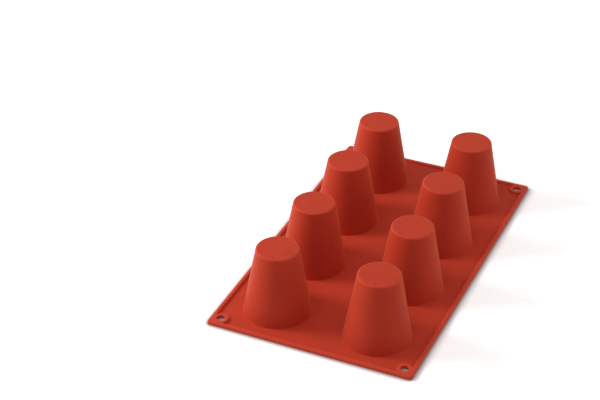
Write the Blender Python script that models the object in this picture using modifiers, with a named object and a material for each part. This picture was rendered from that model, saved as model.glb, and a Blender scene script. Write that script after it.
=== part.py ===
# Baba mould: one flexible silicone sheet that carries eight deep tapered cups.
# The sheet lies on the ground with its open face down, and its cups stand on it, closed ends up.
# +X runs along the sheet from row 1 to row 4, +Y across it from the right column to the left one.
# The moulding is divided where it bends (webs between the rows) and where it yields (cup ends).

import math

import bmesh
import bpy

MM = 0.001

# Sheet
SHEET_LENGTH = 300.0 * MM
SHEET_WIDTH = 175.0 * MM
SHEET_THICKNESS = 1.3 * MM
CORNER_RADIUS = 2.5 * MM
CORNER_SEGMENTS = 4

# Raised rim round the cups' side of the sheet
RIM_HEIGHT = 3.0 * MM
RIM_WIDTH = 3.5 * MM
RIM_ROUND = 0.9 * MM
RIM_ROUND_STEPS = 2
RIM_DRAFT = 0.4 * MM
RECESS_CORNER_RADIUS = 2.0 * MM

# Hanging eyelet in each corner
EYELET_INSET = 8.7 * MM
EYELET_HOLE_RADIUS = 3.5 * MM
EYELET_RING_WIDTH = 3.0 * MM
EYELET_RING_HEIGHT = 2.9 * MM
EYELET_SIDES = 24

# Cups
ROWS = 4
ROW_PITCH = 72.9 * MM
COLUMN_PITCH = 86.8 * MM
CUP_HEIGHT = 61.0 * MM
MOUTH_RADIUS = 27.0 * MM
MOUTH_ROUND = 0.5 * MM
CROWN_RADIUS = 17.6 * MM
CROWN_ROUND = 1.0 * MM
WALL_THICKNESS = 1.2 * MM
FOOT_FILLET = 1.4 * MM
FOOT_LAND = 0.3 * MM
ROUND_STEPS = 3
CUP_SIDES = 40

# Closed cup ends
END_THICKNESS = 1.3 * MM
END_EDGE_ROUND = 0.3 * MM

# Strip of panel left between the cups' feet and the webs between the rows
PANEL_STRIP = 2.0 * MM

# Gap between neighbouring zones, and how far cutters reach past what they cut
GAP = 0.3 * MM
CUT_MARGIN = 2.0 * MM

SILICONE_COLOUR = (0.46, 0.045, 0.022, 1.0)
SILICONE_ROUGHNESS = 0.48

OBJECT_NAME = "baba_mould"
SIDES = {"left": 1, "right": -1}


def clear_scene():
    for old in list(bpy.data.objects):
        bpy.data.objects.remove(old, do_unlink=True)


def new_collection(name):
    collection = bpy.data.collections.new(name)
    bpy.context.scene.collection.children.link(collection)
    return collection


def silicone(name):
    material = bpy.data.materials.new(name)
    material.use_nodes = True
    shader = material.node_tree.nodes["Principled BSDF"]
    shader.inputs["Base Color"].default_value = SILICONE_COLOUR
    shader.inputs["Roughness"].default_value = SILICONE_ROUGHNESS
    shader.inputs["Metallic"].default_value = 0.0
    material.diffuse_color = SILICONE_COLOUR
    return material


def new_object(name, mesh, collection, material=None):
    thing = bpy.data.objects.new(name, mesh)
    collection.objects.link(thing)
    if material:
        mesh.materials.append(material)
    return thing


def mesh_from(bm, name):
    bmesh.ops.recalc_face_normals(bm, faces=bm.faces)
    mesh = bpy.data.meshes.new(name)
    bm.to_mesh(mesh)
    bm.free()
    return mesh


def cutter(name, mesh):
    guide = new_object(name, mesh, cutters)
    guide.hide_render = True
    guide.display_type = "WIRE"
    return guide


def add_boolean(thing, tool, operation):
    modifier = thing.modifiers.new(tool.name, "BOOLEAN")
    modifier.operation = operation
    modifier.solver = "EXACT"
    modifier.object = tool


def evaluated_mesh(thing, name):
    depsgraph = bpy.context.evaluated_depsgraph_get()
    mesh = bpy.data.meshes.new_from_object(thing.evaluated_get(depsgraph))
    mesh.name = name
    return mesh


def smooth(mesh):
    mesh.shade_smooth()
    mesh.set_sharp_from_angle(angle=math.radians(35.0))


# A quarter round as (step inwards, step up) pairs, from its side to its top.
def quarter_round(radius, steps):
    angles = [math.pi / 2 * k / steps for k in range(1, steps + 1)]
    return [(radius * (1 - math.cos(a)), radius * math.sin(a)) for a in angles]


# A closed body from a rounded rectangle that is extruded upwards through levels of (inset, height).
def stacked_rectangle(name, corner_radius, levels):
    bm = bmesh.new()
    inset, height = levels[0]
    size_x = SHEET_LENGTH - 2 * inset
    size_y = SHEET_WIDTH - 2 * inset
    bmesh.ops.create_grid(bm, x_segments=1, y_segments=1, size=0.5)
    bmesh.ops.scale(bm, vec=(size_x, size_y, 1.0), verts=bm.verts)
    bmesh.ops.translate(bm, vec=(0.0, 0.0, height), verts=bm.verts)
    bmesh.ops.bevel(
        bm,
        geom=bm.verts[:],
        offset=corner_radius,
        segments=CORNER_SEGMENTS,
        profile=0.5,
        affect="VERTICES",
    )
    bottom = bm.faces[:][0]
    face = bottom
    for next_inset, next_height in levels[1:]:
        extruded = bmesh.ops.extrude_face_region(bm, geom=[face])
        if face is not bottom:
            bmesh.ops.delete(bm, geom=[face], context="FACES_ONLY")
        face = [part for part in extruded["geom"] if isinstance(part, bmesh.types.BMFace)][0]
        next_x = SHEET_LENGTH - 2 * next_inset
        next_y = SHEET_WIDTH - 2 * next_inset
        bmesh.ops.translate(bm, vec=(0.0, 0.0, next_height - height), verts=face.verts)
        bmesh.ops.scale(bm, vec=(next_x / size_x, next_y / size_y, 1.0), verts=face.verts)
        size_x, size_y, height = next_x, next_y, next_height
    return mesh_from(bm, name)


def cylinder(name, radius, bottom, top, place, sides):
    bm = bmesh.new()
    bmesh.ops.create_cone(
        bm,
        cap_ends=True,
        segments=sides,
        radius1=radius,
        radius2=radius,
        depth=top - bottom,
    )
    bmesh.ops.translate(bm, vec=(place[0], place[1], (bottom + top) / 2), verts=bm.verts)
    return mesh_from(bm, name)


def box(name, low, high):
    bm = bmesh.new()
    bmesh.ops.create_cube(bm, size=1.0)
    bmesh.ops.scale(bm, vec=[b - a for a, b in zip(low, high)], verts=bm.verts)
    bmesh.ops.translate(bm, vec=[(a + b) / 2 for a, b in zip(low, high)], verts=bm.verts)
    return mesh_from(bm, name)


def row_centre(row):
    return (row - (ROWS + 1) / 2) * ROW_PITCH


def web_centre(row):
    return row_centre(row) + ROW_PITCH / 2


# The webs fill the space between two rows of cup feet, less a strip of panel on each side.
def web_half_width():
    return ROW_PITCH / 2 - foot_radius() - GAP - PANEL_STRIP


def cup_centre(row, side):
    return (row_centre(row), SIDES[side] * COLUMN_PITCH / 2)


def eyelet_centres():
    x = SHEET_LENGTH / 2 - EYELET_INSET
    y = SHEET_WIDTH / 2 - EYELET_INSET
    return [(sx * x, sy * y) for sx in (-1, 1) for sy in (-1, 1)]


# The cup's inner radius at a height: a straight taper from the mouth to the closed end.
def inner_radius(height):
    closed_radius = CROWN_RADIUS - WALL_THICKNESS
    share = height / (CUP_HEIGHT - END_THICKNESS)
    return MOUTH_RADIUS + (closed_radius - MOUTH_RADIUS) * share


def outer_radius(height):
    return inner_radius(height) + WALL_THICKNESS


def foot_radius():
    return outer_radius(SHEET_THICKNESS) + FOOT_FILLET + FOOT_LAND


def end_radius():
    return inner_radius(CUP_HEIGHT - END_THICKNESS) - GAP


# The whole sheet as one blank: rim, recess, eyelets, and the holes that the cup feet stand in.
def sheet_blank():
    rim_steps = quarter_round(RIM_ROUND, RIM_ROUND_STEPS)
    shoulder = RIM_HEIGHT - RIM_ROUND
    outer_levels = [(0.0, 0.0), (0.0, shoulder)]
    outer_levels += [(inwards, shoulder + up) for inwards, up in rim_steps]
    blank = new_object("sheet_blank", stacked_rectangle("sheet_blank", CORNER_RADIUS, outer_levels), cutters)

    recess_levels = [(RIM_WIDTH + RIM_DRAFT, SHEET_THICKNESS), (RIM_WIDTH, shoulder)]
    recess_levels += [(RIM_WIDTH - inwards, shoulder + up) for inwards, up in rim_steps]
    recess_levels.append((RIM_WIDTH - RIM_ROUND, RIM_HEIGHT + CUT_MARGIN))
    recess = cutter("recess", stacked_rectangle("recess", RECESS_CORNER_RADIUS, recess_levels))
    add_boolean(blank, recess, "DIFFERENCE")

    ring_bottom = SHEET_THICKNESS / 2
    ring_radius = EYELET_HOLE_RADIUS + EYELET_RING_WIDTH
    for index, place in enumerate(eyelet_centres()):
        ring_mesh = cylinder("ring", ring_radius, ring_bottom, EYELET_RING_HEIGHT, place, EYELET_SIDES)
        add_boolean(blank, cutter(f"eyelet_ring_{index}", ring_mesh), "UNION")
        hole_mesh = cylinder(
            "hole", EYELET_HOLE_RADIUS, -CUT_MARGIN, RIM_HEIGHT + CUT_MARGIN, place, EYELET_SIDES
        )
        add_boolean(blank, cutter(f"eyelet_hole_{index}", hole_mesh), "DIFFERENCE")

    for row in range(1, ROWS + 1):
        for side in SIDES:
            seat_mesh = cylinder(
                "seat",
                foot_radius() + GAP,
                -CUT_MARGIN,
                RIM_HEIGHT + CUT_MARGIN,
                cup_centre(row, side),
                CUP_SIDES,
            )
            add_boolean(blank, cutter(f"foot_seat_{row}_{side}", seat_mesh), "DIFFERENCE")

    mesh = evaluated_mesh(blank, "sheet")
    bpy.data.objects.remove(blank, do_unlink=True)
    return mesh


# One zone of the sheet between two places along X.
def sheet_zone(name, blank_mesh, low_x, high_x, material):
    zone = new_object(name, blank_mesh.copy(), parts, material)
    reach_y = SHEET_WIDTH / 2 + CUT_MARGIN
    low = (low_x, -reach_y, -CUT_MARGIN)
    high = (high_x, reach_y, RIM_HEIGHT + CUT_MARGIN)
    add_boolean(zone, cutter(f"{name}_limits", box("limits", low, high)), "INTERSECT")
    smooth(zone.data)
    return zone


def sheet_zones(blank_mesh):
    panel_material = silicone("silicone_sheet")
    web_material = silicone("silicone_web")
    web_half = web_half_width()
    for row in range(1, ROWS + 1):
        low_x = -SHEET_LENGTH / 2 - CUT_MARGIN
        high_x = SHEET_LENGTH / 2 + CUT_MARGIN
        if row > 1:
            low_x = web_centre(row - 1) + web_half + GAP
        if row < ROWS:
            high_x = web_centre(row) - web_half - GAP
        sheet_zone(f"row_panel_{row}", blank_mesh, low_x, high_x, panel_material)
    for row in range(1, ROWS):
        middle = web_centre(row)
        sheet_zone(
            f"flex_web_{row}_{row + 1}", blank_mesh, middle - web_half, middle + web_half, web_material
        )


# The cup wall's section, from the inner edge of its top down the outer side and back up the inner side.
def wall_section():
    seat = end_radius() + GAP
    crown_round = min(CROWN_ROUND, WALL_THICKNESS * 0.85)
    shoulder = CUP_HEIGHT - crown_round
    crown = outer_radius(shoulder)
    section = [(seat, CUP_HEIGHT)]
    for inwards, up in reversed(quarter_round(crown_round, ROUND_STEPS)):
        section.append((crown - inwards, shoulder + up))
    section.append((crown, shoulder))
    fillet_top = SHEET_THICKNESS + FOOT_FILLET
    fillet_side = outer_radius(fillet_top)
    section.append((fillet_side, fillet_top))
    for step in range(1, ROUND_STEPS + 1):
        angle = math.pi / 2 * step / ROUND_STEPS
        out = FOOT_FILLET * (1 - math.cos(angle))
        down = FOOT_FILLET * math.sin(angle)
        section.append((fillet_side + out, fillet_top - down))
    section.append((foot_radius(), SHEET_THICKNESS))
    section.append((foot_radius(), 0.0))
    section.append((MOUTH_RADIUS + MOUTH_ROUND, 0.0))
    section.append((inner_radius(MOUTH_ROUND), MOUTH_ROUND))
    section.append((seat, CUP_HEIGHT - END_THICKNESS))
    return section


def cup_wall(name, section, place, material):
    mesh = bpy.data.meshes.new(name)
    count = len(section)
    edges = [(k, (k + 1) % count) for k in range(count)]
    mesh.from_pydata([(r, 0.0, z) for r, z in section], edges, [])
    wall = new_object(name, mesh, parts, material)
    wall.location = (place[0], place[1], 0.0)
    turn = wall.modifiers.new("turn", "SCREW")
    turn.axis = "Z"
    turn.angle = 2 * math.pi
    turn.steps = CUP_SIDES
    turn.render_steps = CUP_SIDES
    turn.use_merge_vertices = True
    turn.merge_threshold = 0.00001
    turn.use_smooth_shade = True
    return wall


# The closed end, a disc that sits in the top of the wall and can be pushed down inside the taper.
def cup_end(name, place, material):
    bm = bmesh.new()
    bmesh.ops.create_cone(
        bm,
        cap_ends=True,
        segments=CUP_SIDES,
        radius1=end_radius(),
        radius2=end_radius(),
        depth=END_THICKNESS,
    )
    rim_edges = [edge for edge in bm.edges if abs(edge.verts[0].co.z - edge.verts[1].co.z) < 0.1 * MM]
    bmesh.ops.bevel(bm, geom=rim_edges, offset=END_EDGE_ROUND, segments=1, affect="EDGES")
    disc = new_object(name, mesh_from(bm, name), parts, material)
    disc.location = (place[0], place[1], CUP_HEIGHT - END_THICKNESS / 2)
    smooth(disc.data)
    return disc


def cups():
    wall_material = silicone("silicone_cup")
    end_material = silicone("silicone_cup_end")
    section = wall_section()
    for row in range(1, ROWS + 1):
        for side in SIDES:
            place = cup_centre(row, side)
            cup_wall(f"cup_wall_{row}_{side}", section, place, wall_material)
            cup_end(f"cup_end_{row}_{side}", place, end_material)


clear_scene()
parts = new_collection(OBJECT_NAME)
cutters = new_collection("cutters")
sheet_zones(sheet_blank())
cups()
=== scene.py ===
import math

import bmesh
import bpy
import numpy as np
from mathutils import Matrix, Vector


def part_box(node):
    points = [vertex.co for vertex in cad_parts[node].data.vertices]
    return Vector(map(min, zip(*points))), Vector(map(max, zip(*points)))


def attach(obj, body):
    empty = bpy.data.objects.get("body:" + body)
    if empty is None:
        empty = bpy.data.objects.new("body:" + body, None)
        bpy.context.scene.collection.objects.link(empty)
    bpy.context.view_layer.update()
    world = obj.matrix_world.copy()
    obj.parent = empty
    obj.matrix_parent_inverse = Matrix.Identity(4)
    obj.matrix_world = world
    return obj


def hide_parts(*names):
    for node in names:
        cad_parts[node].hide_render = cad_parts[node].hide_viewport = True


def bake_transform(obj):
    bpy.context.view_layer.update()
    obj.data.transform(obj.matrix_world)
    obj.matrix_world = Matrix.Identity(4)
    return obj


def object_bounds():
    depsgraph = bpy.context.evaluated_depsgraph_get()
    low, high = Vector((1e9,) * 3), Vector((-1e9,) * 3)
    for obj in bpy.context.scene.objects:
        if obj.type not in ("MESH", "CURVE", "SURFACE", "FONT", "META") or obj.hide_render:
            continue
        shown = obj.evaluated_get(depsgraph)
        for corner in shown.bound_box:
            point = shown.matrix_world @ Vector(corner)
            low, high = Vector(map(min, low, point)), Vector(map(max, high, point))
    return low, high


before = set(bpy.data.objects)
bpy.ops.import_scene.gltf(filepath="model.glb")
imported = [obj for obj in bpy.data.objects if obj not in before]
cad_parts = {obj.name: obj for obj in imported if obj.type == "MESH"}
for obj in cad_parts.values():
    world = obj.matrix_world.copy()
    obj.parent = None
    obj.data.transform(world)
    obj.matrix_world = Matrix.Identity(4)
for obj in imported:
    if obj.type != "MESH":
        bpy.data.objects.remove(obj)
cadLow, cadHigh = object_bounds()
mm = 0.001
rows = (1, 2, 3, 4)
sides = {"left": 1.0, "right": -1.0}
halfLength = cadHigh.x / mm
halfWidth = cadHigh.y / mm
cupHeight = cadHigh.z / mm

# how every mesh is finished: points nearer than the weld distance, in millimetres, become one, and edges
# that turn by more than the angle stay sharp
meshLook = {"weldDistance": 0.004, "sharpDegrees": 50.0}


# points on a circle of the given radius, from one angle to another, as (across, up)
def arc(centre, radius, fromDegrees, toDegrees, count):
    angle = np.radians(np.linspace(fromDegrees, toDegrees, count))
    return np.stack([centre[0] + radius * np.cos(angle), centre[1] + radius * np.sin(angle)], axis=1)


# quads between neighbouring points of a grid of rows by columns, numbered row after row
def gridFaces(rowCount, columnCount, closeRows=False, closeColumns=False):
    lastRow = rowCount if closeRows else rowCount - 1
    lastColumn = columnCount if closeColumns else columnCount - 1
    i, j = np.meshgrid(np.arange(lastRow), np.arange(lastColumn), indexing="ij")
    nextI = (i + 1) % rowCount
    nextJ = (j + 1) % columnCount
    around = ((i, j), (nextI, j), (nextI, nextJ), (i, nextJ))
    return np.stack([row * columnCount + column for row, column in around], axis=-1).reshape(-1, 4)


# one mesh from several grids in millimetres: welded, closed at its open ends, normals outwards
def pieceFromGrids(name, grids, fillEnds=False):
    starts = np.cumsum([0] + [len(points) for points, _ in grids])
    points = np.concatenate([gridPoints for gridPoints, _ in grids]) * mm
    faces = np.concatenate([quads + start for (_, quads), start in zip(grids, starts)])
    mesh = bpy.data.meshes.new(name)
    mesh.from_pydata(points.tolist(), [], faces.tolist())
    bm = bmesh.new()
    bm.from_mesh(mesh)
    bmesh.ops.remove_doubles(bm, verts=bm.verts, dist=meshLook["weldDistance"] * mm)
    if fillEnds:
        bmesh.ops.holes_fill(bm, edges=[edge for edge in bm.edges if edge.is_boundary], sides=0)
    bmesh.ops.recalc_face_normals(bm, faces=bm.faces)
    bm.to_mesh(mesh)
    bm.free()
    mesh.shade_smooth()
    mesh.set_sharp_from_angle(angle=math.radians(meshLook["sharpDegrees"]))
    piece = bpy.data.objects.new(name, mesh)
    bpy.context.scene.collection.objects.link(piece)
    return piece


# keeps on a piece's points how far each one lies on a rounded raised edge, from 0 to 1, as the mask of a
# painted highlight: the silicone's colour is made lighter there, for the light that gets in from both sides
def keepEdgeHighlight(piece, shares):
    kept = piece.data.attributes.new("paintedEdgeHighlight", "FLOAT", "POINT")
    kept.data.foreach_set("value", shares)


# a piece's points in millimetres
def pointsOf(piece):
    points = np.empty(len(piece.data.vertices) * 3)
    piece.data.vertices.foreach_get("co", points)
    return points.reshape(-1, 3) / mm


# the flat sheet, in millimetres; a panel's plate has as many stations round each cup as the cup wall has,
# and the sides of an eyelet's notch get a larger share of them
sheetLook = {
    "thickness": 1.3,
    "cornerRadius": 2.5,
    "edgeRound": 0.15,
    "stations": 160,
    "notchShare": 1.9,
    "plateRings": 6,
}

# the raised rim along the sheet's outline; the lands are how far beyond its fillet the section has points
# on the flat plate, and the fillet stands off the inner wall's foot by a share of its radius
rimLook = {
    "height": 3.0,
    "width": 3.5,
    "outerRound": 1.1,
    "innerRound": 0.8,
    "draft": 0.4,
    "fillet": 0.5,
    "filletShare": 0.75,
    "lands": (0.6, 0.2),
    "recessRadius": 3.4,
    "outerSteps": 8,
    "innerSteps": 7,
    "filletSteps": 5,
    "edgeSteps": 3,
}

# the eyelet in every corner: a hole with a raised ring round it, whose outer wall leans by some degrees;
# ring and rim run into each other, the sharper the higher the merge
eyeletLook = {
    "inset": 8.7,
    "holeRadius": 3.5,
    "width": 3.0,
    "height": 3.0,
    "innerRound": 0.4,
    "outerRound": 0.8,
    "fillet": 0.6,
    "lean": 10.0,
    "merge": 5.0,
    "innerSteps": 5,
    "outerSteps": 7,
    "filletSteps": 6,
}

# the square patch of sheet that holds an eyelet, with the number of points along each side and round the
# corner of its outline, and of lines from the hole out to its edge on top and underneath
patchLook = {"size": 17.0, "sideSteps": 30, "bendSteps": 11, "topLines": 6, "underLines": 5}


# the rim's section as (distance in from the outline, height): up its inner side from the plate to the
# top, down its outer round, down the wall and round the lower edge, back along the underside
def rimSection():
    look = rimLook
    thickness = sheetLook["thickness"]
    edge = sheetLook["edgeRound"]
    innerUp = look["height"] - look["innerRound"]
    outerUp = look["height"] - look["outerRound"]
    lean = math.degrees(math.atan2(look["draft"], innerUp - thickness))
    foot = look["width"] + look["draft"] + look["fillet"] * look["filletShare"]
    inner = np.concatenate([
        [[foot + land, thickness] for land in look["lands"]],
        arc((foot, thickness + look["fillet"]), look["fillet"], 270, 180 + lean, look["filletSteps"]),
        arc((look["width"] - look["innerRound"], innerUp), look["innerRound"], lean, 90, look["innerSteps"]),
    ])
    outer = arc((look["outerRound"], outerUp), look["outerRound"], 90, 180, look["outerSteps"])
    lowerEdge = arc((edge, edge), edge, 180, 270, look["edgeSteps"])
    wall = np.concatenate([[[0.0, outerUp], [0.0, outerUp / 2]], lowerEdge])
    under = np.concatenate([outer[:1], inner[::-1]])
    under[:, 1] = 0.0
    return inner, outer, wall, under


rimInner, rimOuter, rimWall, rimUnder = rimSection()
rim = np.concatenate([rimInner, rimOuter, rimWall[1:], rimUnder])
plateInset = rimInner[0, 0]
outlineBend = sheetLook["cornerRadius"]
recessBend = rimLook["width"] + rimLook["recessRadius"]


# the eyelet ring's section as (distance from its centre, height over the plate): round, flat, round, fillet
def ringSection():
    look = eyeletLook
    top = look["height"] - sheetLook["thickness"]
    outer = look["holeRadius"] + look["width"]
    innerCentre = (look["holeRadius"] + look["innerRound"], top - look["innerRound"])
    outerCentre = (outer - look["outerRound"], top - look["outerRound"])
    filletCentre = (outer + look["fillet"], look["fillet"])
    return np.concatenate([
        arc(innerCentre, look["innerRound"], 180, 90, look["innerSteps"]),
        arc(outerCentre, look["outerRound"], 90, look["lean"], look["outerSteps"]),
        arc(filletCentre, look["fillet"], 180 + look["lean"], 270, look["filletSteps"]),
    ])


ring = ringSection()


# distance in from two edges that meet in a corner rounded about (bend, bend): the nearer edge, or the
# radius less the distance to the bend
def roundedDistance(inset, bend):
    fromBend = np.linalg.norm(bend - inset, axis=-1)
    return np.where((inset < bend).all(axis=-1), bend - fromBend, inset.min(axis=-1))


# height over the plate in a corner: the rim is the lower of its outer side, which turns with the outline,
# and its inner side, which turns with the recess; rim and ring are joined by (rim^p + ring^p)^(1/p)
def cornerRise(inset):
    outer = np.interp(roundedDistance(inset, outlineBend), rimOuter[::-1, 0], rimOuter[::-1, 1])
    inner = np.interp(roundedDistance(inset, recessBend), rimInner[::-1, 0], rimInner[::-1, 1])
    ofRim = np.minimum(outer, inner) - sheetLook["thickness"]
    fromCentre = np.linalg.norm(inset - eyeletLook["inset"], axis=-1)
    ofRing = np.interp(fromCentre, ring[:, 0], ring[:, 1], right=0.0)
    power = eyeletLook["merge"]
    joined = (np.maximum(ofRim, 0.0) ** power + np.maximum(ofRing, 0.0) ** power) ** (1 / power)
    return np.minimum(joined, rimLook["height"] - sheetLook["thickness"])


# how far out each direction from the eyelet's centre meets the lines at some distances in from the outline:
# a straight one at (centre - distance) / the direction's outward share, or, near the corner, the circle
# about (bend, bend) whose radius is bend - distance
def reachOfLine(direction, distances, bend):
    centre = eyeletLook["inset"]
    leastShare = 1e-6
    outward = np.maximum(-direction, leastShare)[:, None, :]
    straight = ((centre - distances)[None, :, None] / outward).min(axis=-1)
    hit = centre + direction[:, None, :] * straight[..., None]
    along = (bend - centre) * direction.sum(axis=-1)[:, None]
    square = along**2 - 2 * (centre - bend) ** 2 + (bend - distances)[None, :] ** 2
    curved = along + np.sqrt(np.maximum(square, 0.0))
    return np.where((hit < bend).all(axis=-1), curved, straight)


# distances in from the two outer edges of a corner, made places on the sheet, and back
def fromInset(inset, signX, signY):
    return np.stack([signX * (halfLength - inset[..., 0]), signY * (halfWidth - inset[..., 1])], axis=-1)


def toInset(plan):
    return np.stack([halfLength - np.abs(plan[:, 0]), halfWidth - np.abs(plan[:, 1])], axis=1)


# plan points and one height, or a height for each, as points
def lifted(plan, height):
    flat = plan.reshape(-1, 2)
    up = np.broadcast_to(height, plan.shape[:-1]).reshape(-1, 1)
    return np.concatenate([flat, up], axis=1)


# a corner's parts, each as distances in from its two edges, heights over the ground, and faces. The top:
# rays from the eyelet's centre out to a closed loop, cut where they cross the lines of the ring and of the
# rim, and raised by both
def cornerTop(reach, direction):
    hole = eyeletLook["holeRadius"]
    steps = np.concatenate([
        np.broadcast_to(ring[:, 0], (len(reach), len(ring))),
        reachOfLine(direction, rimInner[:, 0], recessBend),
        reachOfLine(direction, rimOuter[:, 0], outlineBend),
        hole + (reach - hole) * np.linspace(0, 1, patchLook["topLines"]),
    ], axis=1)
    steps = np.sort(np.clip(steps, hole, reach), axis=1)
    inset = eyeletLook["inset"] + direction[:, None, :] * steps[..., None]
    return inset, sheetLook["thickness"] + cornerRise(inset), gridFaces(*steps.shape, closeRows=True)


# the wall along the outline and the round below it, drawn in towards the middle of the corner's bend
def cornerWall(outline):
    line = np.append(rimWall, rimUnder[:1], axis=0)
    anchor = np.maximum(outline, outlineBend)
    share = 1 - line[:, 0] / outlineBend
    inset = anchor[:, None] + (outline - anchor)[:, None] * share[None, :, None]
    return inset, line[:, 1], gridFaces(len(outline), len(line))


# the flat underside, from the hole's edge out to the loop
def cornerUnderside(holeEdge, loop):
    count = patchLook["underLines"]
    share = np.linspace(0, 1, count)[None, :, None]
    inset = holeEdge[:, None] + (loop - holeEdge)[:, None] * share
    return inset, 0.0, gridFaces(len(loop), count, closeRows=True)


# the hole's wall, from the ring's lower inner edge to the ground
def holeWall(holeEdge):
    top = sheetLook["thickness"] + ring[0, 1]
    faces = gridFaces(2, len(holeEdge), closeColumns=True)
    return np.stack([holeEdge, holeEdge]), np.array([[top], [0.0]]), faces


# the corner with its eyelet, inside a closed loop that starts with the points of the outline
def cornerGrids(loop, outlineCount, signX, signY):
    centre = eyeletLook["inset"]
    reach = np.linalg.norm(loop - centre, axis=1)[:, None]
    direction = (loop - centre) / reach
    holeEdge = centre + direction * eyeletLook["holeRadius"]
    wall = cornerWall(loop[:outlineCount])
    wallFoot = wall[0][:, -1]
    lowLoop = np.concatenate([wallFoot, np.maximum(loop[outlineCount:], rimUnder[0, 0])])
    parts = [cornerTop(reach, direction), wall, cornerUnderside(holeEdge, lowLoop), holeWall(holeEdge)]
    return [(lifted(fromInset(inset, signX, signY), up), faces) for inset, up, faces in parts]


# the corner's closed loop as distances in from its edges: along the outline, across the short side's rim,
# along the notch in the plate by the plate's own stations, and back across the long side's rim
def cornerLoop(alongX, alongY):
    radius = sheetLook["cornerRadius"]
    patch = patchLook["size"]
    side = np.linspace(patch, radius, patchLook["sideSteps"])
    bend = arc((radius, radius), radius, 270, 180, patchLook["bendSteps"])
    across = np.concatenate([rimOuter[::-1][1:, 0], rimInner[::-1, 0]])
    outline = np.concatenate([
        np.stack([side, np.zeros_like(side)], axis=1),
        bend[1:-1],
        np.stack([np.zeros_like(side), side[::-1]], axis=1),
    ])
    overShort = np.stack([across, np.full_like(across, patch)], axis=1)
    overLong = np.stack([np.full_like(across, patch), across[::-1]], axis=1)
    return np.concatenate([outline, overShort, alongX, alongY, overLong]), len(outline)


# the rounded edges of the sheet, as the painted highlight's mask: rims and rings by their height over the
# plate, and the outer wall
def sheetEdgeHighlight(points):
    thickness = sheetLook["thickness"]
    raised = (points[:, 2] - thickness) / (rimLook["height"] - thickness)
    onWall = roundedDistance(toInset(points), outlineBend) < 2 * sheetLook["edgeRound"]
    return np.where(onWall, 1.0, np.clip(raised, 0.0, 1.0))


# closed loop of points along a polygon; each side is cut evenly and gets its share of the points
def loopStations(corners, shares):
    ends = np.roll(corners, -1, axis=0)
    weights = np.linalg.norm(ends - corners, axis=1) * shares
    counts = np.round(sheetLook["stations"] * weights / weights.sum()).astype(int)
    counts[np.argmax(weights)] += sheetLook["stations"] - counts.sum()
    runs = zip(corners, ends, counts)
    return [start + (end - start) * (np.arange(count) / count)[:, None] for start, end, count in runs]


# cup places, read off the frame
def cupCentre(row, side):
    low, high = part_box(f"cup_wall_{row}_{side}")
    return np.array([(low.x + high.x) / 2, (low.y + high.y) / 2]) / mm


# one cup, in millimetres: a thin cone that narrows to a flat closed end. The wall reaches out past its foot
# fillet by a land, and in on the closed end to a seam. The flats beside a round or a fillet have a point
# near it, and the taper's first and last rings lie a small share from its ends. Two bend heights up the
# wall close the list.
cupLook = {
    "mouthRadius": 27.0,
    "crownRadius": 17.6,
    "wall": 1.2,
    "endThickness": 1.3,
    "mouthRound": 0.7,
    "footFillet": 0.7,
    "crownRound": 1.7,
    "innerFillet": 1.2,
    "landPastFillet": 0.5,
    "endSeam": 14.9,
    "besideRound": 0.15,
    "besideCrown": 0.3,
    "taperEnds": 0.008,
    "wallRings": 30,
    "footSteps": 8,
    "crownSteps": 10,
    "innerSteps": 9,
    "mouthSteps": 7,
    "bendFrom": 2.0,
    "bendTo": 60.0,
}


# the cup's inner radius at a height: straight from the mouth's on the ground to the closed end's inside
def innerRadius(height):
    closed = cupLook["crownRadius"] - cupLook["wall"]
    share = height / (cupHeight - cupLook["endThickness"])
    return cupLook["mouthRadius"] + (closed - cupLook["mouthRadius"]) * share


# the radius where the cup wall's land ends and the sheet begins: the wall at the plate, its fillet, the land
def footSeam():
    thickness = sheetLook["thickness"]
    return innerRadius(thickness) + cupLook["wall"] + cupLook["footFillet"] + cupLook["landPastFillet"]


# how far the cup's wall leans in for each step up
def taper():
    closed = cupLook["crownRadius"] - cupLook["wall"]
    return (cupLook["mouthRadius"] - closed) / (cupHeight - cupLook["endThickness"])


# middle of the crown's round, as (radius, height)
def crownMiddle():
    up = cupHeight - cupLook["crownRound"]
    return innerRadius(up) + cupLook["wall"] - cupLook["crownRound"] * math.hypot(1, taper()), up


# rings at even steps from one end of a taper to the other, in a straight line
def taperRings(start, end):
    share = np.linspace(0, 1, cupLook["wallRings"])
    share[0] = cupLook["taperEnds"]
    share[-1] = 1 - cupLook["taperEnds"]
    return start + (end - start) * share[:, None]


# the cup wall's closed section: foot land, fillet, outer taper, crown, top, inner fillet, inner taper, mouth
def wallSection():
    look = cupLook
    thickness = sheetLook["thickness"]
    seam = footSeam()
    topInside = cupHeight - look["endThickness"]
    lean = math.degrees(math.atan(taper()))
    push = math.hypot(1, taper())
    footUp = thickness + look["footFillet"]
    foot = (innerRadius(footUp) + look["wall"] + look["footFillet"] * push, footUp)
    crown = crownMiddle()
    filletUp = topInside - look["innerFillet"]
    fillet = (innerRadius(filletUp) - look["innerFillet"] * push, filletUp)
    mouthUp = look["mouthRound"]
    mouth = (innerRadius(mouthUp) + look["mouthRound"] * push, mouthUp)
    footArc = arc(foot, look["footFillet"], 270, 180 + lean, look["footSteps"])
    crownArc = arc(crown, look["crownRound"], lean, 90, look["crownSteps"])
    filletArc = arc(fillet, look["innerFillet"], 90, lean, look["innerSteps"])
    mouthArc = arc(mouth, look["mouthRound"], 180 + lean, 270, look["mouthSteps"])
    return np.concatenate([
        [[seam, thickness], [foot[0] + look["besideRound"], thickness]],
        footArc,
        taperRings(footArc[-1], crownArc[0]),
        crownArc,
        [[crown[0] - look["besideCrown"], cupHeight], [look["endSeam"], cupHeight]],
        [[look["endSeam"], topInside], [fillet[0] - look["besideCrown"], topInside]],
        filletArc,
        taperRings(filletArc[-1], mouthArc[0]),
        mouthArc,
        [[mouth[0] + look["besideRound"], 0.0], [seam, 0.0]],
    ])


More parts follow.
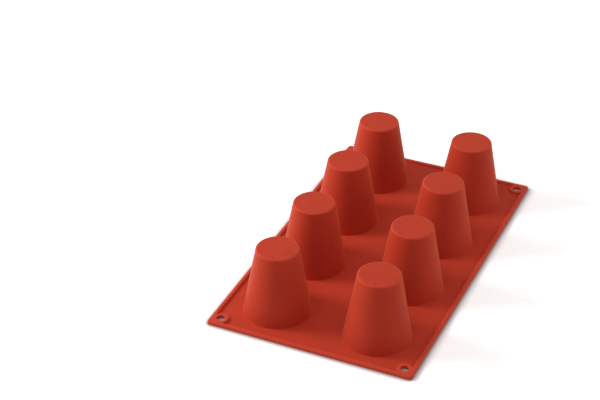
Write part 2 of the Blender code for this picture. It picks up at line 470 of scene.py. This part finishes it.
# a section turned about the vertical line through a place: (r cos a, r sin a, z)
def turned(section, place, count, closeSection):
    angle = np.linspace(0, 2 * np.pi, count, endpoint=False)[:, None]
    radius = section[:, 0][None, :]
    x = place[0] + radius * np.cos(angle)
    y = place[1] + radius * np.sin(angle)
    z = np.broadcast_to(section[:, 1][None, :], x.shape)
    points = np.stack([x, y, z], axis=-1).reshape(-1, 3)
    return points, gridFaces(count, len(section), closeRows=True, closeColumns=closeSection)


# the plate round one cup: straight lines from the seam circle, which has the cup wall's own points, out
# to the loop of stations, each line starting as near as it can to its station's direction
def plateGrids(loop, place):
    count = len(loop)
    ringCount = sheetLook["plateRings"]
    step = 2 * np.pi / count
    toward = loop - place
    drift = np.unwrap(np.arctan2(toward[:, 1], toward[:, 0])) - np.arange(count) * step
    first = np.round((drift.min() + drift.max()) / 2 / step) * step
    angle = first + np.arange(count) * step
    circle = place + footSeam() * np.stack([np.cos(angle), np.sin(angle)], axis=1)
    share = np.linspace(0, 1, ringCount)[:, None, None]
    plan = circle + (loop - circle) * share
    faces = gridFaces(ringCount, count, closeColumns=True)
    seam = np.concatenate([lifted(circle, sheetLook["thickness"]), lifted(circle, 0.0)])
    return [
        (lifted(plan, sheetLook["thickness"]), faces),
        (lifted(plan, 0.0), faces),
        (seam, gridFaces(2, count, closeColumns=True)),
    ]


# the rim's section carried along a straight side: stations along it, section distances in from it
def rimGrid(stations, along, outward):
    count = len(stations)
    inward = np.tile(rim[:, 0], count)
    up = np.tile(rim[:, 1], count)
    station = np.repeat(stations, len(rim))
    if along == "x":
        points = np.stack([station, outward * (halfWidth - inward), up], axis=1)
    else:
        points = np.stack([outward * (halfLength - inward), station, up], axis=1)
    return points, gridFaces(count, len(rim))


# the strip between two rows, which bends; it leaves the panels this much of plate beside the cup walls
webLook = {"besideCups": 0.4, "stationsAlong": 41, "stationsAcross": 61}


# where the strip after a row meets the panels: on the row's own side (-1) or on the next row's (1)
def seamX(row, end):
    nearest = cupCentre(row if end < 0 else row + 1, "left")[0]
    return nearest - end * (footSeam() + webLook["besideCups"])


# half of a middle row's panel: the plate round one cup and the rim on that side
def middleHalf(xLow, xHigh, place, sign):
    top = halfWidth - plateInset
    corners = np.array([[xLow, 0.0], [xHigh, 0.0], [xHigh, sign * top], [xLow, sign * top]])
    runs = loopStations(corners, np.ones(4))
    loop = np.concatenate(runs)
    rimStations = np.append(runs[2][:, 0], xLow)
    return plateGrids(loop[::int(sign)], place) + [rimGrid(rimStations, "x", sign)]


# half of an end row's panel: as a middle one, with the rim along its end and an eyelet in its corner
def endHalf(inner, outer, place, sign):
    top = halfWidth - plateInset
    end = outer * (halfLength - plateInset)
    notchX = outer * (halfLength - patchLook["size"])
    notchY = halfWidth - patchLook["size"]
    plan = [(inner, 0.0), (inner, top), (notchX, top), (notchX, notchY), (end, notchY), (end, 0.0)]
    corners = np.array(plan) * (1.0, sign)
    share = sheetLook["notchShare"]
    runs = loopStations(corners, np.array([1.0, 1.0, share, share, 1.0, 1.0]))
    loop = np.concatenate(runs)
    grids = plateGrids(loop[::int(-sign * outer)], place)
    grids.append(rimGrid(np.append(runs[1][:, 0], notchX), "x", sign))
    grids.append(rimGrid(np.append(runs[4][:, 1], 0.0), "y", outer))
    notchDown = np.append(runs[2], runs[3][:1], axis=0)
    notchOut = np.append(runs[3], runs[4][:1], axis=0)
    alongX = toInset(notchOut)[::-1][1:]
    alongY = toInset(notchDown)[::-1][1:-1]
    cornerPoints, outlineCount = cornerLoop(alongX, alongY)
    return grids + cornerGrids(cornerPoints, outlineCount, outer, sign)


# one row's panel: a plate round each cup, rims along its outer sides and eyelets in its outer corners
def rowPanel(row):
    low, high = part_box(f"row_panel_{row}")
    xLow = seamX(row - 1, 1) if row > rows[0] else low.x / mm
    xHigh = seamX(row, -1) if row < rows[-1] else high.x / mm
    grids = []
    for side, sign in sides.items():
        place = cupCentre(row, side)
        if row == rows[0]:
            grids += endHalf(xHigh, -1.0, place, sign)
        elif row == rows[-1]:
            grids += endHalf(xLow, 1.0, place, sign)
        else:
            grids += middleHalf(xLow, xHigh, place, sign)
    panel = pieceFromGrids(f"rowPanel{row}", grids, fillEnds=True)
    keepEdgeHighlight(panel, sheetEdgeHighlight(pointsOf(panel)))
    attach(panel, f"row_{row}")
    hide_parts(f"row_panel_{row}")
    return panel


# one plate with the rim at both ends, fine enough to bend
def flexWeb(row):
    xLow = seamX(row, -1)
    xHigh = seamX(row, 1)
    stations = np.linspace(xLow, xHigh, webLook["stationsAlong"])
    reach = halfWidth - plateInset
    across = np.linspace(-reach, reach, webLook["stationsAcross"])
    plan = np.stack(np.meshgrid(stations, across, indexing="ij"), axis=-1)
    faces = gridFaces(len(stations), len(across))
    grids = [(lifted(plan, sheetLook["thickness"]), faces), (lifted(plan, 0.0), faces)]
    grids += [rimGrid(stations, "x", sign) for sign in sides.values()]
    web = pieceFromGrids(f"flexWeb{row}{row + 1}", grids, fillEnds=True)
    keepEdgeHighlight(web, sheetEdgeHighlight(pointsOf(web)))
    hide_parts(f"flex_web_{row}_{row + 1}")
    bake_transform(web)
    return web


# where the crown's round gets the painted highlight, in degrees along it from the flat end: the painted
# highlight starts at once and fades into the wall
crownHighlightLook = {"lightOver": 10.0, "fadeOver": 15.0, "goneAt": 85.0}


# the crown's painted highlight mask: rise times fade, by the angle of a point round the middle of the
# crown's round
def crownEdgeHighlight(points, place):
    middle = crownMiddle()
    out = np.linalg.norm(points[:, :2] - place, axis=1) - middle[0]
    up = points[:, 2] - middle[1]
    angle = np.degrees(np.arctan2(out, up))
    rise = np.clip(angle / crownHighlightLook["lightOver"], 0, 1)
    fade = np.clip((crownHighlightLook["goneAt"] - angle) / crownHighlightLook["fadeOver"], 0, 1)
    return np.where((out > 0) & (up > 0), rise * fade, 0.0)


# the wall's section turned about the cup's axis
def cupWall(row, side):
    place = cupCentre(row, side)
    grid = turned(wallSection(), place, sheetLook["stations"], True)
    wall = pieceFromGrids(f"cupWall{row}{side.title()}", [grid])
    keepEdgeHighlight(wall, crownEdgeHighlight(pointsOf(wall), place))
    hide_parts(f"cup_wall_{row}_{side}")
    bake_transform(wall)
    return wall


# the closed end, with the gate mark of the first row: a shallow dimple near the end's edge, in millimetres
# from its middle; rings of points lie closer from the dimple's inner side outwards
endLook = {
    "gateRows": (1,),
    "gatePlace": (-13.45, -2.2),
    "gateRadius": 1.25,
    "gateDepth": 0.8,
    "stations": 320,
    "rings": 12,
    "gateRings": 20,
}


# flat discs from the centre out to the seam; the dimple is pressed into the top one by
# depth times (1 - share of the radius squared) squared
def cupEnd(row, side):
    place = cupCentre(row, side)
    seam = cupLook["endSeam"]
    low = cupHeight - cupLook["endThickness"]
    gateStart = math.hypot(*endLook["gatePlace"]) - endLook["gateRadius"]
    innerRadii = np.linspace(0, gateStart, endLook["rings"], endpoint=False)
    topRadii = np.append(innerRadii, np.linspace(gateStart, seam, endLook["gateRings"]))
    underRadii = np.linspace(seam, 0, endLook["rings"])
    section = np.concatenate([
        np.stack([topRadii, np.full_like(topRadii, cupHeight)], axis=1),
        np.stack([underRadii, np.full_like(underRadii, low)], axis=1),
    ])
    points, faces = turned(section, place, endLook["stations"], False)
    if row in endLook["gateRows"]:
        fromGate = points[:, :2] - place - endLook["gatePlace"]
        away = np.linalg.norm(fromGate, axis=1) / endLook["gateRadius"]
        dip = endLook["gateDepth"] * np.clip(1 - away**2, 0, 1) ** 2
        points[:, 2] -= np.where(points[:, 2] > low, dip, 0.0)
    end = pieceFromGrids(f"cupEnd{row}{side.title()}", [(points, faces)])
    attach(end, f"end_{row}_{side}")
    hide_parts(f"cup_end_{row}_{side}")
    return end


# the silicone: a saturated red rubber with a satin moulded skin. One cloud of slow noise mixes its deep
# colour with its plain one, sets its roughness between two values and raises its waves.
siliconeLook = {
    "colour": (0.51, 0.041, 0.022),
    "deepColour": (0.48, 0.037, 0.019),
    # the edge colour is a painted highlight, mixed in on rounded raised edges and the sheet's outer wall
    "edgeHighlightColour": (0.57, 0.054, 0.032),
    "colourRange": (0.3, 0.6),
    "roughness": (0.51, 0.63),
    "specular": 0.08,
    "specularTint": (1.0, 0.72, 0.32),
    "sheen": 0.2,
    "sheenRoughness": 0.5,
    "sheenTint": (1.0, 0.42, 0.13),
    "grainSize": 0.00035,
    "grainDepth": 0.00002,
    "grainStrength": 0.35,
    "grainDetail": 2.0,
    "waveSize": 0.03,
    "waveDepth": 0.0003,
    "waveStrength": 0.5,
    "waveDetail": 3.0,
}


# a new node with the named inputs and settings
def node(tree, kind, **values):
    made = tree.nodes.new(kind)
    for name, value in values.items():
        if name in made.inputs:
            made.inputs[name].default_value = value
        else:
            setattr(made, name, value)
    return made


# an output's values stretched from one range to another
def ranged(tree, output, fromRange=(0.0, 1.0), toRange=(0.0, 1.0), **values):
    spread = node(tree, "ShaderNodeMapRange", **values)
    for name, value in zip(("From Min", "From Max", "To Min", "To Max"), (*fromRange, *toRange)):
        spread.inputs[name].default_value = value
    tree.links.new(output, spread.inputs["Value"])
    return spread.outputs["Result"]


# two colours mixed by an output; each is a plain colour or an output itself
def mixed(tree, factor, first, second):
    mix = node(tree, "ShaderNodeMix", data_type="RGBA")
    tree.links.new(factor, mix.inputs["Factor"])
    for name, colour in (("A", first), ("B", second)):
        if isinstance(colour, tuple):
            mix.inputs[name].default_value = (*colour, 1.0)
        else:
            tree.links.new(colour, mix.inputs[name])
    return mix.outputs["Result"]


# what comes of an output and a plain number or another output
def worked(tree, operation, first, second):
    maths = node(tree, "ShaderNodeMath", operation=operation)
    tree.links.new(first, maths.inputs[0])
    if isinstance(second, float):
        maths.inputs[1].default_value = second
    else:
        tree.links.new(second, maths.inputs[1])
    return maths.outputs[0]


# noise in the object's own coordinates
def noise(tree, size, detail):
    place = node(tree, "ShaderNodeTexCoord")
    cloud = node(tree, "ShaderNodeTexNoise", Scale=1 / size, Detail=detail)
    tree.links.new(place.outputs["Object"], cloud.inputs["Vector"])
    return cloud.outputs["Fac"]


# a fine grain on slow waves
def siliconeBump(tree, cloud):
    look = siliconeLook
    grain = node(tree, "ShaderNodeBump", Strength=look["grainStrength"], Distance=look["grainDepth"])
    wave = node(tree, "ShaderNodeBump", Strength=look["waveStrength"], Distance=look["waveDepth"])
    tree.links.new(noise(tree, look["grainSize"], look["grainDetail"]), grain.inputs["Height"])
    tree.links.new(cloud, wave.inputs["Height"])
    tree.links.new(grain.outputs["Normal"], wave.inputs["Normal"])
    return wave.outputs["Normal"]


# the red silicone: body colour by the cloud, lighter by a painted highlight on the kept rounded edges, satin
# gloss, soft sheen and bump
def siliconeMaterial():
    look = siliconeLook
    material = bpy.data.materials.new("redSilicone")
    material.use_nodes = True
    tree = material.node_tree
    shader = tree.nodes["Principled BSDF"]
    shader.inputs["Metallic"].default_value = 0.0
    shader.inputs["Specular IOR Level"].default_value = look["specular"]
    shader.inputs["Specular Tint"].default_value = (*look["specularTint"], 1.0)
    shader.inputs["Sheen Weight"].default_value = look["sheen"]
    shader.inputs["Sheen Roughness"].default_value = look["sheenRoughness"]
    shader.inputs["Sheen Tint"].default_value = (*look["sheenTint"], 1.0)
    cloud = noise(tree, look["waveSize"], look["waveDetail"])
    body = mixed(tree, ranged(tree, cloud, look["colourRange"]), look["deepColour"], look["colour"])
    # the painted edge highlight's mask, read from the pieces' points
    edge = node(tree, "ShaderNodeAttribute", attribute_name="paintedEdgeHighlight")
    colour = mixed(tree, edge.outputs["Fac"], body, look["edgeHighlightColour"])
    tree.links.new(colour, shader.inputs["Base Color"])
    roughness = ranged(tree, cloud, toRange=look["roughness"])
    tree.links.new(roughness, shader.inputs["Roughness"])
    tree.links.new(siliconeBump(tree, cloud), shader.inputs["Normal"])
    return material


# the studio: a pale floor under a soft white sky, both seen lighter than they light the object. The floor
# has a painted contact shadow, a dark line where something rests on it, and some way out it glows, so that
# it runs out to white.
studioLook = {
    "floorSize": 12.0,
    "floorColour": (0.8, 0.8, 0.79),
    "floorSeen": (1.52, 1.52, 1.51),
    "contactReach": 0.0075,
    "contactLeast": 0.45,
    "contactPower": 3.5,
    "contactSamples": 12,
    # the dark grey of the painted contact shadow
    "contactShadowColour": (0.42, 0.42, 0.42),
    "farRange": (0.45, 2.2),
    "farGlow": (0.0, 0.75),
    "white": (1.0, 1.0, 1.0, 1.0),
    "skyStrength": 0.434,
    "skySeen": 1.0,
}

# the soft round lamps, all turned to the object: a key lamp low at the picture's left, a wide one low at
# its right and a wide one overhead
lampLook = {
    "keyLamp": {"place": (-0.24, 0.82, 0.46), "size": 0.42, "power": 5.85},
    "fillLamp": {"place": (0.55, -1.25, 0.32), "size": 0.8, "power": 3.5},
    "topLamp": {"place": (-0.15, 0.1, 1.25), "size": 0.8, "power": 3.0},
}


# a factor of 1 on rays that show the background, straight, by reflection or through glass, and 0 on the
# rays that light the object
def seenRays(tree):
    rays = node(tree, "ShaderNodeLightPath")
    first = worked(tree, "MAXIMUM", rays.outputs["Is Camera Ray"], rays.outputs["Is Glossy Ray"])
    return worked(tree, "MAXIMUM", first, rays.outputs["Is Transmission Ray"])


# the floor's seen colour with a painted contact shadow, darker close to whatever rests on it: the open share
# of the space within reach above the floor, less the least one and made 0 to 1, to a power, mixes the two
# colours
def paintedContactShadow(tree):
    look = studioLook
    near = node(tree, "ShaderNodeAmbientOcclusion", samples=look["contactSamples"])
    near.inputs["Distance"].default_value = look["contactReach"]
    share = ranged(tree, near.outputs["AO"], (look["contactLeast"], 1.0))
    fall = worked(tree, "POWER", share, look["contactPower"])
    return mixed(tree, fall, look["contactShadowColour"], look["floorSeen"])


# the floor's own glow, which starts some way out from the object and is seen but lights nothing
def farGlow(tree):
    look = studioLook
    place = node(tree, "ShaderNodeTexCoord")
    length = node(tree, "ShaderNodeVectorMath", operation="LENGTH")
    tree.links.new(place.outputs["Object"], length.inputs[0])
    reach = length.outputs["Value"]
    far = ranged(tree, reach, look["farRange"], look["farGlow"], interpolation_type="SMOOTHSTEP")
    glow = node(tree, "ShaderNodeEmission", Color=look["white"])
    tree.links.new(worked(tree, "MULTIPLY", far, seenRays(tree)), glow.inputs["Strength"])
    return glow.outputs[0]


# matt, in its lighting colour or its seen one with the painted contact shadow, with the glow added
def floorMaterial():
    material = bpy.data.materials.new("paleFloor")
    material.use_nodes = True
    tree = material.node_tree
    tree.nodes.remove(tree.nodes["Principled BSDF"])
    matt = node(tree, "ShaderNodeBsdfDiffuse")
    pale = mixed(tree, seenRays(tree), studioLook["floorColour"], paintedContactShadow(tree))
    tree.links.new(pale, matt.inputs["Color"])
    total = node(tree, "ShaderNodeAddShader")
    tree.links.new(matt.outputs[0], total.inputs[0])
    tree.links.new(farGlow(tree), total.inputs[1])
    tree.links.new(total.outputs[0], tree.nodes["Material Output"].inputs["Surface"])
    return material


# one wide plane on the ground under the object
def makeFloor():
    bpy.ops.mesh.primitive_plane_add(size=studioLook["floorSize"], location=(0.0, 0.0, 0.0))
    floor = bpy.context.object
    floor.name = "studioFloor"
    floor.data.materials.append(floorMaterial())


# an even white sky, at full strength on the rays that show it and weaker on those that light the object
def makeSky():
    world = bpy.data.worlds.new("softSky")
    world.use_nodes = True
    tree = world.node_tree
    sky = tree.nodes["Background"]
    sky.inputs["Color"].default_value = studioLook["white"]
    strength = ranged(tree, seenRays(tree), toRange=(studioLook["skyStrength"], studioLook["skySeen"]))
    tree.links.new(strength, sky.inputs["Strength"])
    bpy.context.scene.world = world


# a soft disc of light turned to the middle of the object's foot
def makeLamp(name, place, size, power):
    data = bpy.data.lights.new(name, "AREA")
    data.shape = "DISK"
    data.size = size
    data.energy = power
    lamp = bpy.data.objects.new(name, data)
    lamp.location = place
    lamp.rotation_euler = (-Vector(place)).to_track_quat("-Z", "Y").to_euler()
    bpy.context.scene.collection.objects.link(lamp)


# the photograph's view: direction from the object, the floor point in the middle of the frame, the distance
cameraLook = {
    "azimuth": -66.34,
    "elevation": 32.94,
    "roll": 0.36,
    "middle": (0.04802, 0.09317, 0.0),
    "distance": 1.497,
    "lens": 100.56,
    "sensorWidth": 36.0,
    "clipStart": 0.05,
    "clipEnd": 60.0,
}


# back points from the object to the camera; right lies level, and the roll turns both about back
def makeCamera():
    look = cameraLook
    azimuth = math.radians(look["azimuth"])
    elevation = math.radians(look["elevation"])
    level = math.cos(elevation)
    back = Vector((math.sin(azimuth) * level, -math.cos(azimuth) * level, math.sin(elevation)))
    right = Vector((math.cos(azimuth), math.sin(azimuth), 0.0))
    axes = Matrix((right, back.cross(right), back)).transposed()
    turn = axes @ Matrix.Rotation(math.radians(look["roll"]), 3, "Z")
    data = bpy.data.cameras.new("photoCamera")
    data.lens = look["lens"]
    data.sensor_width = look["sensorWidth"]
    data.clip_start = look["clipStart"]
    data.clip_end = look["clipEnd"]
    camera = bpy.data.objects.new("photoCamera", data)
    place = Vector(look["middle"]) + back * look["distance"]
    camera.matrix_world = Matrix.Translation(place) @ turn.to_4x4()
    bpy.context.scene.collection.objects.link(camera)
    bpy.context.scene.camera = camera


makeCamera()
print("camera placed")

silicone = siliconeMaterial()
pieces = [rowPanel(row) for row in rows]
pieces += [flexWeb(row) for row in rows[:-1]]
print("sheet made:", len(pieces), "pieces")
cupNames = [(row, side) for row in rows for side in sides]
pieces += [cupWall(row, side) for row, side in cupNames]
pieces += [cupEnd(row, side) for row, side in cupNames]
print("cups made:", len(cupNames))
for piece in pieces:
    piece.data.materials.append(silicone)

makeFloor()
makeSky()
for name, look in lampLook.items():
    makeLamp(name, **look)
bpy.context.scene.view_settings.view_transform = "Standard"
print("studio ready")
